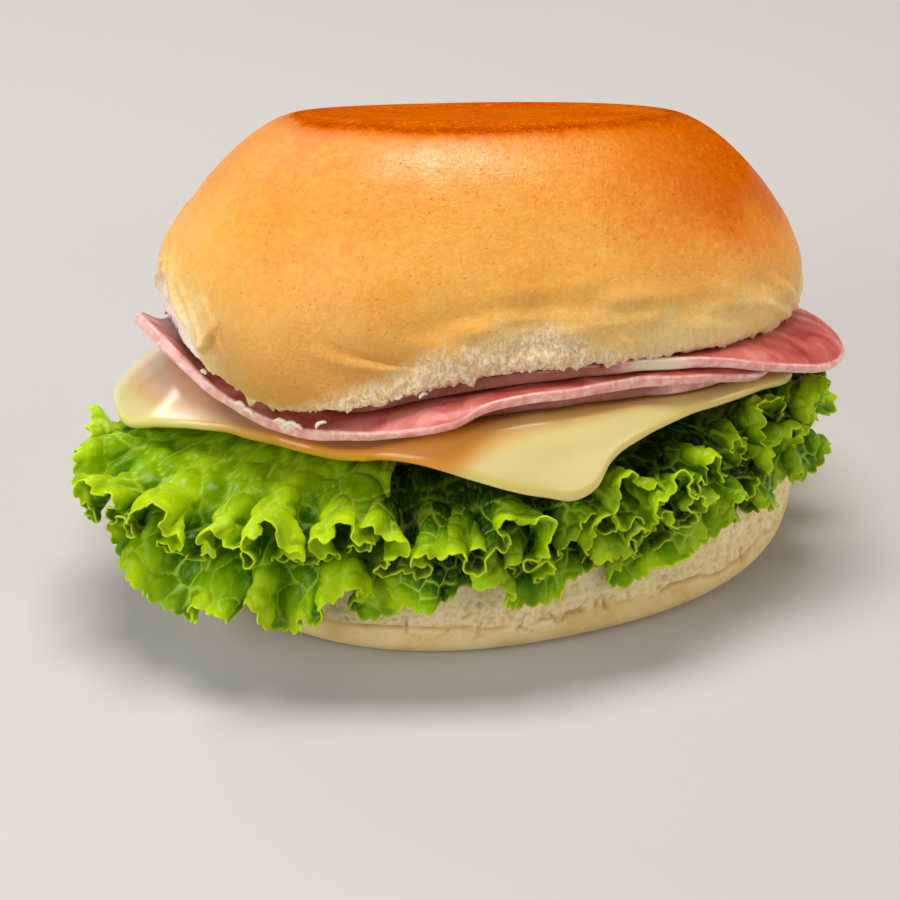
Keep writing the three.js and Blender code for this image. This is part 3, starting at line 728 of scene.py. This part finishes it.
def make_crown(material):
    """Upper half: cut face, torn rim, domed side with folds low down, and a flat, sunken top."""
    height = CROWN_HEIGHT
    profile = [(0, 0.6)] + line((0, 0.6), (0.76, 0.1), 5) + line((0.76, 0.1), (0.95, 0), 8)
    profile += bezier((0.95, 0), (0.985, 0.1), (1, 1.2), (1, 5), 25)
    profile += bezier((1, 5), (1, 14.4), (0.727, height), (0.545, height), 64, lead=1.3)
    profile += bezier((0.545, height), (0.515, height), (0.505, height - 0.9), (0.445, height - 0.9), 8)
    profile += line((0.445, height - 0.9), (0, height - 1.1), 6)
    mesh = turned(profile, CROWN_STEPS)
    share, angle, level = polar(mesh)
    degrees = np.degrees(angle)
    x, y = oval_place(share, angle)
    wrinkles = 1.1 * ramp(22 - level, 0, 14) * ramp(share, 0.8, 0.95)
    swell = wrinkles * bumps(x, y, level * 1.5, 5, 4)
    swell += 0.8 * ramp(share, 0.3, 0.7) * bumps(x, y, level, 22, 1)
    points = crown_form(share, angle, level, swell)
    move(mesh, points)
    normal = coordinates(mesh, "normal")

    # How far baked: pale at the cut, golden on the side, deep orange on top and toward the right
    under = (level < 1.5) & (share < 0.97)
    at = np.mod(degrees, 360)
    low = 0.13 - 0.07 * ramp(200 - at, 0, 8) * ramp(at, 150, 165)
    low += 0.1 * ramp(at, 194, 204) * ramp(262 - at, 0, 14)
    bake = lerp(low, 0.37, ramp(level, 1, 15)) + 0.07 * ramp(level, 16, 28)
    bake += 0.05 * ramp(-x, 20, 38) * ramp(level, 10, 16)
    bake -= 0.13 * ramp(-x, 48, 60) * ramp(30 - level, 0, 8)
    right = ramp(x, 5, 38)
    reach = level + 4 * noise(points, 12, 45)
    bake += 0.3 * right * ramp(reach, 4, 26)
    bake += 0.06 * ramp(x, -10, 15) * ramp(reach, 12, 22)
    border = 0.58 + 0.065 * np.maximum(0, np.cos(angle + math.radians(105)))
    from_top = share - border + 0.01 * noise(points, 5, 17) + 0.006 * noise(points, 1.2, 18)
    high = ramp(level, 24, 28)
    fading = np.exp(-np.maximum(0, from_top) / lerp(0.038, 0.085, right))
    bake += high * lerp(0.34, 0.12, right) * fading
    flat_top = 0.87 + 0.04 * noise(points, 3, 46) + 0.09 * bell(from_top, -0.02, 0.02)
    bake = lerp(bake, flat_top, high * ramp(-from_top, -0.005, 0.008))
    bake += 0.04 * noise(points, 16, 21)

    # Crumb shows where the skin is torn along the rim
    torn_to = ring_value(CROWN_TEAR, degrees, 1)
    depth = ring_value(CROWN_TEAR, degrees, 2)
    torn_to = torn_to * (1 + 0.25 * noise(points, 7, 11)) + 0.7 * noise(points, 2.4, 12)
    blend = lerp(0.7, 2.3, ramp(at, 200, 235) * ramp(320 - at, 0, 20))
    crumb = np.maximum(ramp((torn_to - level) / blend, -1, 0.9), under)
    wound = points + 1.3 * np.stack([noise(points, 2.6, seed) for seed in (23, 24, 25)], 1)
    fibres = noise(wound * (1, 1, 0.7), 1.7, 26) + 0.8 * fractal(wound, 0.9, 13)
    rim = ramp(1.8 - level, 0, 1.8) * ramp(share, 0.94, 0.97)
    uneven = fractal(points * (1, 1, 0.3), 1.0, 27) + 0.9 * noise(points, 4, 39)
    ragged = np.maximum(0, uneven) * rim * (0.2 + crumb)
    sunk = depth * ramp(share, 0.96, 0.985) * ramp(level, 0, 1)
    relief = crumb * (0.28 * fibres - 0.1 - sunk)
    skin = 1 - crumb
    lip = bell(level - torn_to, 0.7, 0.5)
    relief += 0.3 * lip * skin * ramp(depth, 0.1, 0.5)
    relief += skin * skin_folds(degrees, level)
    pucker = ramp(level, 2, 5) * ramp(16 - level, 0, 8) * bell(degrees, -90, 30)
    dimple = pucker * noise(points * (0.6, 0.6, 1.4), 6, 28)
    relief += 1.3 * dimple
    # Painted shade: darker brown low at the left front, where the skin faces down, and in the dimples
    painted_crust_shade = 0.6 * ramp(at, 196, 208) * ramp(258 - at, 0, 24) * ramp(17 - level, 0, 12)
    painted_crust_shade = np.maximum(painted_crust_shade, 0.35 * ramp(-dimple, 0, 0.8))
    tucked = ramp(at, 192, 200) * ramp(236 - at, 0, 10)
    relief -= 0.8 * tucked * ramp(5 - level, 0, 5)
    relief += 0.5 * noise(points, 13, 37) * ramp(level, 1, 4) * ramp(24 - level, 0, 14)
    relief += 0.18 * skin * noise(points, 6, 14) * ramp(30 - level, 0, 20)
    relief = relief * ramp(share, 0.6, 0.8)
    points = points + normal * relief[:, None] - np.array([0, 0, 1.2]) * ragged[:, None]

    # Gloss lies along the front of the flat top, and painted light makes the crumb nearly white at the
    # left
    brushed = bell(x, -18, 15) * bell(level, 31, 2.8) * ramp(-y, 10, 25)
    sheen = 0.33 + 0.9 * brushed * (1 + 0.6 * noise(points, 4, 44))
    white = 0.8 * ramp(at, 150, 162) * ramp(200 - at, 0, 8)
    attributes = {"bake": bake, "crumb": crumb, "painted_crust_shade": painted_crust_shade, "sheen": sheen, "white": white}
    points = crown_seated(points)
    return finish_piece("crown_bread", mesh, points, attributes, material, ["crown"])


def make_crumbs(material):
    """Curled flakes of crumb at the torn rim, pale as the crumb is there."""
    draw = np.random.default_rng(21)
    bm = bmesh.new()
    bmesh.ops.create_uvsphere(bm, u_segments=16, v_segments=20, radius=1)
    ball = mesh_of(bm, "ball")
    bm = bmesh.new()
    for _ in CRUMBS:
        bm.from_mesh(ball)
    mesh = mesh_of(bm, "crumbs")
    flakes = coordinates(mesh).reshape(len(CRUMBS), -1, 3)
    for i, (degrees, length, drop) in enumerate(CRUMBS):
        angle = np.radians([degrees - 1.0, degrees, degrees + 1.0])
        rim = crown_seated(crown_form(np.full(3, 0.975), angle, np.full(3, 0.1)))
        along = unit(rim[2] - rim[0])
        outward = unit(np.cross(along, (0, 0, 1.0)))
        lean = draw.uniform(-0.5, 0.5)
        along = unit(along + (0, 0, lean))
        upward = np.cross(outward, along)
        bend = draw.uniform(0.7, 1.3)
        radius = length / (2 * bend)
        flake = flakes[i]
        turn = flake[:, 2] * bend
        rough = 1 + 0.9 * fractal(flake * 1.4 + 9 * i, 0.6, 29)
        arc = radius + flake[:, 0] * 0.3 * rough
        on_line = arc * np.sin(turn)
        off_line = arc * np.cos(turn) - radius
        across = flake[:, 1] * 0.45 * rough
        place = rim[1] + outward * 0.4 - (0, 0, drop)
        curled = place + np.outer(on_line, along) + np.outer(off_line, upward)
        flakes[i] = curled + np.outer(across, outward)
    points = flakes.reshape(-1, 3)
    levels = {"crumb": 1, "white": 0.6, "sheen": 0.3}
    attributes = {key: np.full(len(points), value) for key, value in levels.items()}
    return finish_piece("torn_crumbs", mesh, points, attributes, material, [])


def make_slice(name, edge, height, thickness, material, node, edge_size, roundness, marks):
    """A slice lying on a height field, its edge rounder where the power of its roundness is lower."""
    turn = np.linspace(math.pi / 2, -math.pi / 2, SLICE_EDGE_STEPS)
    sin, cos = np.sin(turn), np.cos(turn)
    out = np.abs(cos) ** (2 / roundness)
    rise = np.sign(sin) * np.abs(sin) ** (2 / roundness)
    corner = [(1 - edge_size * (1 - o) / SLICE_REACH, r) for o, r in zip(out, rise)]
    inner = 1 - edge_size / SLICE_REACH
    top = [(0, 1)] + line((0, 1), (0.62, 1), 10) + line((0.62, 1), (inner, 1), 40)[:-1]
    profile = top + corner + [(x, -z) for x, z in reversed(top)]
    mesh = turned(profile, SLICE_STEPS)
    share, angle, rise = polar(mesh)
    degrees = np.degrees(angle)
    length = share * ring_value(edge, degrees)
    x = SLICE_MIDDLE[0] + length * np.cos(angle)
    y = SLICE_MIDDLE[1] + length * np.sin(angle)
    step = 0.2
    slope_x = (height(x + step, y) - height(x - step, y)) / (2 * step)
    slope_y = (height(x, y + step) - height(x, y - step)) / (2 * step)
    normal = np.stack([-slope_x, -slope_y, np.ones_like(x)], 1)
    normal /= np.linalg.norm(normal, axis=1)[:, None]
    uneven = 0.2 * noise(np.stack([x, y], 1), 8, 35) * ramp(share, 0.5, 0.8)
    points = np.stack([x, y, height(x, y) + uneven], 1) + normal * (rise * thickness / 2)[:, None]
    attributes = marks(share, degrees, rise, x, y)
    attributes["rim"] = ramp(share, inner + 0.001, inner + 0.007)
    return finish_piece(name, mesh, points, attributes, material, [node])


def ham_marks(order):
    """Where a ham slice's edge is darkened as painted shade, and where the first one's is fat."""
    first, last = HAM_FAT

    def marks(share, degrees, rise, x, y):
        degrees = np.mod(degrees, 360) + 0.8 * noise(np.stack([x, y, rise * 2], 1), 1.2, 36)
        fat = ramp(degrees, first - 0.7, first) * ramp(last - degrees, 0, 1)
        rim = ramp(share, 0.965, 0.98)
        start, end = HAM_PAINTED_SHADE[order - 1]
        # Painted shade on the edge between these angles
        painted_edge_shade = ramp(degrees, start, start + 10) * ramp(end - degrees, 0, 6) * rim
        return {"fat": fat * (share > 0.975) * (0.9 if order == 1 else 0), "painted_edge_shade": 0.75 * painted_edge_shade}

    return marks


def cheese_marks(share, degrees, rise, x, y):
    """The cheese's yellower lower edge, the painted shade beside the ham, and the painted light that
    makes it palest."""
    low = ramp(share, 0.96, 0.98) * ramp(-rise, -0.1, 0.3)
    dx, dy = x - SLICE_MIDDLE[0], y - SLICE_MIDDLE[1]
    ham = np.maximum(ring_value(HAM_EDGES[1], degrees), ring_value(HAM_EDGES[2], degrees))
    past = np.hypot(dx, dy) - ham
    degrees = np.mod(degrees, 360)
    front = lerp(0.55, 0.9, ramp(degrees, 194, 208)) * lerp(1, 0.55, ramp(degrees, 246, 266))
    front = front * lerp(1, 0.4, ramp(degrees, 285, 300))
    width = lerp(3.5, 4.4, ramp(degrees, 194, 208)) * lerp(1, 0.4, ramp(degrees, 240, 278))
    # Painted light: paler toward the left and front-left, lifting the shade there, less so at the outer
    # left edge
    ivory = 0.8 * ramp(262 - degrees, 0, 45) * ramp(degrees, 120, 160)
    ivory = ivory - 0.8 * ramp(share, 0.84, 0.97) * ramp(192 - degrees, 0, 14)
    # Painted shade: orange and darker beside the ham's edge, where the ham shades it
    painted_shade_by_ham = front * ramp(width - past, 0, width)
    return {"below": 0.85 * low, "painted_shade_by_ham": painted_shade_by_ham, "ivory": 0.05 + ivory}


# Lettuce


def unit(vectors):
    return vectors / np.maximum(1e-9, np.linalg.norm(vectors, axis=-1))[..., None]


def soft_max(a, b, size):
    """The larger of two values, rounded where they meet."""
    return size * np.logaddexp(a / size, b / size)


def leaf_ceiling(x, y):
    """Room left for a leaf under the cheese."""
    dx, dy = x - SLICE_MIDDLE[0], y - SLICE_MIDDLE[1]
    reach = np.hypot(dx, dy)
    edge = ring_value(CHEESE_EDGE, np.degrees(np.arctan2(dy, dx)))
    inside = np.minimum(1, edge / reach)
    height = cheese_height(SLICE_MIDDLE[0] + dx * inside, SLICE_MIDDLE[1] + dy * inside)
    return height - CHEESE_THICKNESS / 2 - 1.2 + 2 * np.maximum(0, reach - edge - 1.5)


def grid_normals(points):
    """Normals of a grid of points, rows running outward and columns along the margin."""
    return unit(np.cross(np.gradient(points, axis=0), np.gradient(points, axis=1)))


def leaf_base(leaf, u, v):
    """The leaf with its large frills only, as in the frame, and the roll's edge beside it."""
    fan = 0.5 + (u - 0.5) * lerp(0.94, 1, v)
    degrees = lerp(leaf["start"], leaf["end"], fan)
    edge_out = ring_value(leaf["edge"], degrees, 1)
    edge_height = ring_value(leaf["edge"], degrees, 2)
    angle = np.radians(degrees)
    cos, sin = np.cos(angle), np.sin(angle)
    edge_x, edge_y = oval_place(1, angle)
    out_x, out_y = cos / HALF_LENGTH, sin / HALF_WIDTH
    size = np.hypot(out_x, out_y)
    out_x, out_y = out_x / size, out_y / size
    top = heel_top(edge_y)
    root_height = top + leaf["root"]
    flare = FLARE * math.cos(leaf["droop"]), FLARE * math.sin(leaf["droop"])
    across = [LEAF_ROOT + 0 * u, edge_out * 0.4, edge_out - flare[0], edge_out]
    upward = [root_height, root_height + 1, edge_height + flare[1], edge_height]
    rest = 1 - v
    weights = [rest**3, 3 * rest**2 * v, 3 * rest * v**2, v**3]
    slopes = [3 * rest**2, 6 * rest * v, 3 * v**2]
    curve = across, upward
    at_x, at_y = [sum(w * p for w, p in zip(weights, row)) for row in curve]
    along_x, along_y = [sum(w * (b - a) for w, a, b in zip(slopes, row, row[1:])) for row in curve]
    size = np.hypot(along_x, along_y)
    along_x, along_y = along_x / size, along_y / size

    way = angle * LEAF_REACH / FRILL_LENGTH
    phase = 2 * np.pi * way + 0.9 * np.sin(2.1 * way + 5) + leaf["phase"]
    grow = v**1.6 * leaf.get("frill", 1)
    frill = FRILL_HEIGHT * (0.8 + 0.2 * np.sin(1.9 * way + 3))
    lift = grow * frill * np.sin(phase) + leaf["lap"]
    shift = FRILL_SHIFT * grow * np.sin(2 * phase)
    at_x = at_x - lift * along_y
    at_y = at_y + lift * along_x
    x = edge_x + out_x * at_x - shift * out_y
    y = edge_y + out_y * at_x + shift * out_x
    return np.stack([x, y, at_y], -1), (edge_x, edge_y, out_x, out_y, top)


def keep_clear(leaf, points, around):
    """Moves a leaf's points off the lower half, whose upper edge is round, and off the cheese."""
    edge_x, edge_y, out_x, out_y, top = around
    clear = HEEL_CORNER + LEAF_CLEAR
    x, y, z = points[..., 0], points[..., 1], points[..., 2]
    across = (x - edge_x) * out_x + (y - edge_y) * out_y
    aside = -(x - edge_x) * out_y + (y - edge_y) * out_x
    from_x, from_y = across + HEEL_CORNER, z - top + HEEL_CORNER
    reach = np.maximum(1e-6, np.hypot(from_x, from_y))
    grown = soft_max(reach, clear, 0.4) / reach
    both = (from_x > 0) & (from_y > 0)
    above = (from_x <= 0) & ~both
    beside = ~both & ~above
    new_x = np.where(both, from_x * grown, np.where(beside, soft_max(from_x, clear, 0.4), from_x))
    new_y = np.where(both, from_y * grown, np.where(above, soft_max(from_y, clear, 0.4), from_y))
    across, z = new_x - HEEL_CORNER, new_y - HEEL_CORNER + top
    x = edge_x + out_x * across - aside * out_y
    y = edge_y + out_y * across + aside * out_x
    z = -soft_max(-z, LAP - leaf["lap"] - 0.4 - leaf_ceiling(x, y), 0.5)
    return np.stack([x, y, np.maximum(z, 1.5)], -1)


def make_leaf(number, leaf, material):
    """A lettuce leaf: frills with smaller frills on them, rounded like folded ribbon, teeth at the
    margin, and blisters between a net of veins."""
    length = math.radians(leaf["end"] - leaf["start"]) * LEAF_REACH
    columns, rows = round(length / leaf.get("grain", LEAF_GRAIN)), LEAF_ROWS
    bm = bmesh.new()
    bmesh.ops.create_grid(bm, x_segments=columns, y_segments=rows, size=0.5)
    mesh = mesh_of(bm, "leaf")
    raw = coordinates(mesh)
    order = np.lexsort((raw[:, 0].round(6), raw[:, 1].round(6)))
    shape = (rows + 1, columns + 1)
    u = raw[order, 0].reshape(shape) + 0.5
    inwards = 0.5 - raw[order, 1].reshape(shape)
    v = 1 - inwards * (0.42 + 0.58 * inwards)

    # Lobes reach farthest, and those with given middles lie flatter than what is between them
    if "lobes" in leaf:
        degrees = lerp(leaf["start"], leaf["end"], u)
        away = np.min([np.abs(degrees - middle) for middle in leaf["lobes"]], axis=0)
        lobe = ramp(-away, -7.5, -4)
    else:
        lobe = ramp(noise((u * length)[..., None] + 97 * number, 13, 30), -0.35, 0.35)
    v = v * (1 - 0.35 * np.abs(2 * u - 1) ** 5) * (1 - leaf.get("cut", 0.2) * (1 - lobe))
    calm = 1 - leaf.get("calm", 0) * lobe
    points, around = leaf_base(leaf, u, v)
    gaps = np.linalg.norm(np.diff(points, axis=0), axis=-1)
    inward = np.concatenate([np.cumsum(gaps[::-1], axis=0)[::-1], np.zeros((1, shape[1]))])

    def along_margin():
        steps = np.linalg.norm(np.diff(points[-1], axis=0), axis=-1)
        return np.broadcast_to(np.concatenate([[0], np.cumsum(steps)]), shape) + number * 311

    # Frills on the frills: the sideways swing makes their crests broad and lets them overhang
    fold = np.zeros(shape)
    for wave, height, swing, reach, seed in FRILLS:
        way = along_margin()[..., None]
        phase = 2 * np.pi * (way[..., 0] / wave + 0.4 * noise(way, wave * 2, seed) + 0.02 * inward)
        size = np.exp(-((inward / reach) ** 1.6)) * (0.85 + 0.5 * noise(way, wave * 1.7, seed + 5))
        size = size * calm * leaf.get("frill", 1)
        normal = grid_normals(points)
        along = unit(np.gradient(points, axis=1))
        rise = height * size * np.sin(phase)
        fold = fold - rise
        points = points + normal * rise[..., None]
        points = points - along * (swing * size * np.sin(2 * phase))[..., None]

    # Blisters between the veins
    bent = points + 0.9 * np.stack([noise(points, 5, seed) for seed in (41, 42, 43)], -1)
    size = leaf.get("blister", 4.6)
    _, border = cells(bent, size, 43 + number)
    _, fine = cells(bent, 1.9, 53 + number)
    blade = ramp(inward, 0.4, 2.5)
    bulge = ramp(border, 0, 0.4 * size) * 0.13 * size + ramp(fine, 0, 0.8) * 0.08
    points = points + grid_normals(points) * (blade * bulge)[..., None]
    vein = bell(border, 0, 0.32) + bell(fine, 0, 0.14) * 0.25

    # Teeth along the margin
    way = along_margin()
    beat = np.mod(way / 2.7 + 0.5 * noise(way[..., None], 5, 61), 1)
    teeth = 1 - np.abs(2 * beat - 1) ** 1.6
    uneven = 0.8 * noise(way[..., None], 6, 62)
    tip = bell(inward, 0, 1.5) * (teeth - 0.9 + uneven)
    points = points + unit(np.gradient(points, axis=0)) * tip[..., None]

    points = keep_clear(leaf, points, around)
    faint = lerp(0.75, 0.2, "pale" in leaf) * ramp(inward, 6, 13)
    marks = {
        "vein": np.minimum(1, vein) * blade * (1 - faint),
        "margin": 0.8 * np.exp(-inward / 0.45),
        # Partly the leaf's own darker green, partly painted shade of the hollows
        "inner": ramp(inward, 1, 12) * leaf.get("deep", 1.7) - leaf.get("pale", 0),
        # Painted shade in the troughs of the frills
        "fold": ramp(fold, -0.5, 3.5),
    }
    back = np.argsort(order)
    attributes = {key: values.ravel()[back] for key, values in marks.items()}
    placed = points.reshape(-1, 3)[back]
    name = f"lettuce_leaf_{number}"
    nodes = [f"leaf_{number}"]
    obj = finish_piece(name, mesh, placed, attributes, material, nodes, LEAF_THICKNESS / 2)
    thick = obj.modifiers.new("thickness", "SOLIDIFY")
    thick.thickness = LEAF_THICKNESS * MM
    thick.offset = 0
    return obj


crust = baked_crust()
bread = pale_bread()
ham = cooked_ham()
cheese = soft_cheese()
lettuce = frilled_lettuce()

make_heel(bread)
make_crown(crust)
make_crumbs(crust)
for i, edge in enumerate(HAM_EDGES, 1):
    height = functools.partial(ham_height, i)
    make_slice(
        f"ham_slice_{i}", edge, height, HAM_THICKNESS, ham, f"ham_{i}",
        edge_size=0.7, roundness=3.6, marks=ham_marks(i),
    )
make_slice(
    "cheese_slice", CHEESE_EDGE, cheese_height, CHEESE_THICKNESS, cheese, "cheese",
    edge_size=1.2, roundness=2.2, marks=cheese_marks,
)
for i, leaf in enumerate(LEAVES, 1):
    make_leaf(i, leaf, lettuce)


# Floor, light and camera


def make_floor():
    """A plain pale floor."""
    bm = bmesh.new()
    bmesh.ops.create_grid(bm, x_segments=2, y_segments=2, size=3)
    mesh = mesh_of(bm, "floor")
    material = new_material("plain_pale_floor")[0]
    finish_material(material, Base_Color=linear("C3C2C1"), Roughness=0.7)
    mesh.materials.append(material)
    new_object("floor", mesh)


def add_light(name, place, target, width, height, power, colour):
    data = bpy.data.lights.new(name, "AREA")
    data.shape = "RECTANGLE"
    data.size, data.size_y = width, height
    data.energy = power
    data.color = linear(colour)[:3]
    obj = new_object(name, data)
    obj.location = place
    obj.rotation_euler = (Vector(target) - Vector(place)).to_track_quat("-Z", "Y").to_euler()


make_floor()
add_light("overhead_key", (0.02, 0.12, 0.95), (0, 0, 0.04), 0.6, 0.3, 8, "FFFAF2")
add_light("left_fill", (-0.84, -0.24, 0.4), (0, 0, 0.04), 0.6, 0.6, 5.6, "FFFFFF")
add_light("front_fill", (0.4, -0.85, 0.46), (0, 0, 0.02), 0.6, 0.4, 2.6, "FFF6EA")
add_light("back_rim", (-0.3, 0.9, 0.5), (0, 0, 0.04), 0.5, 0.14, 2.2, "FFFFFF")
add_light("right_fill", (0.95, -0.2, 0.3), (0, 0, 0.02), 0.4, 0.4, 1.8, "FFFAF2")

world = bpy.data.worlds.new("studio")
world.use_nodes = True
background = world.node_tree.nodes["Background"].inputs
background["Color"].default_value = linear("E8EAEC")
background["Strength"].default_value = 0.09
bpy.context.scene.world = world
bpy.context.scene.view_settings.view_transform = "Standard"

AZIMUTH = math.radians(-19.15)
ELEVATION = math.radians(31.5)
CAMERA_DISTANCE = 520
CAMERA_TARGET = (-8.8, -4.4, 17)
camera_data = bpy.data.cameras.new("camera")
camera_data.sensor_width = 36
camera_data.lens = 106.04
camera = new_object("camera", camera_data)
level = math.cos(ELEVATION)
back = Vector((math.sin(AZIMUTH) * level, -math.cos(AZIMUTH) * level, math.sin(ELEVATION)))
camera.location = (Vector(CAMERA_TARGET) + back * CAMERA_DISTANCE) * MM
camera.rotation_euler = back.to_track_quat("Z", "Y").to_euler()
bpy.context.scene.camera = camera
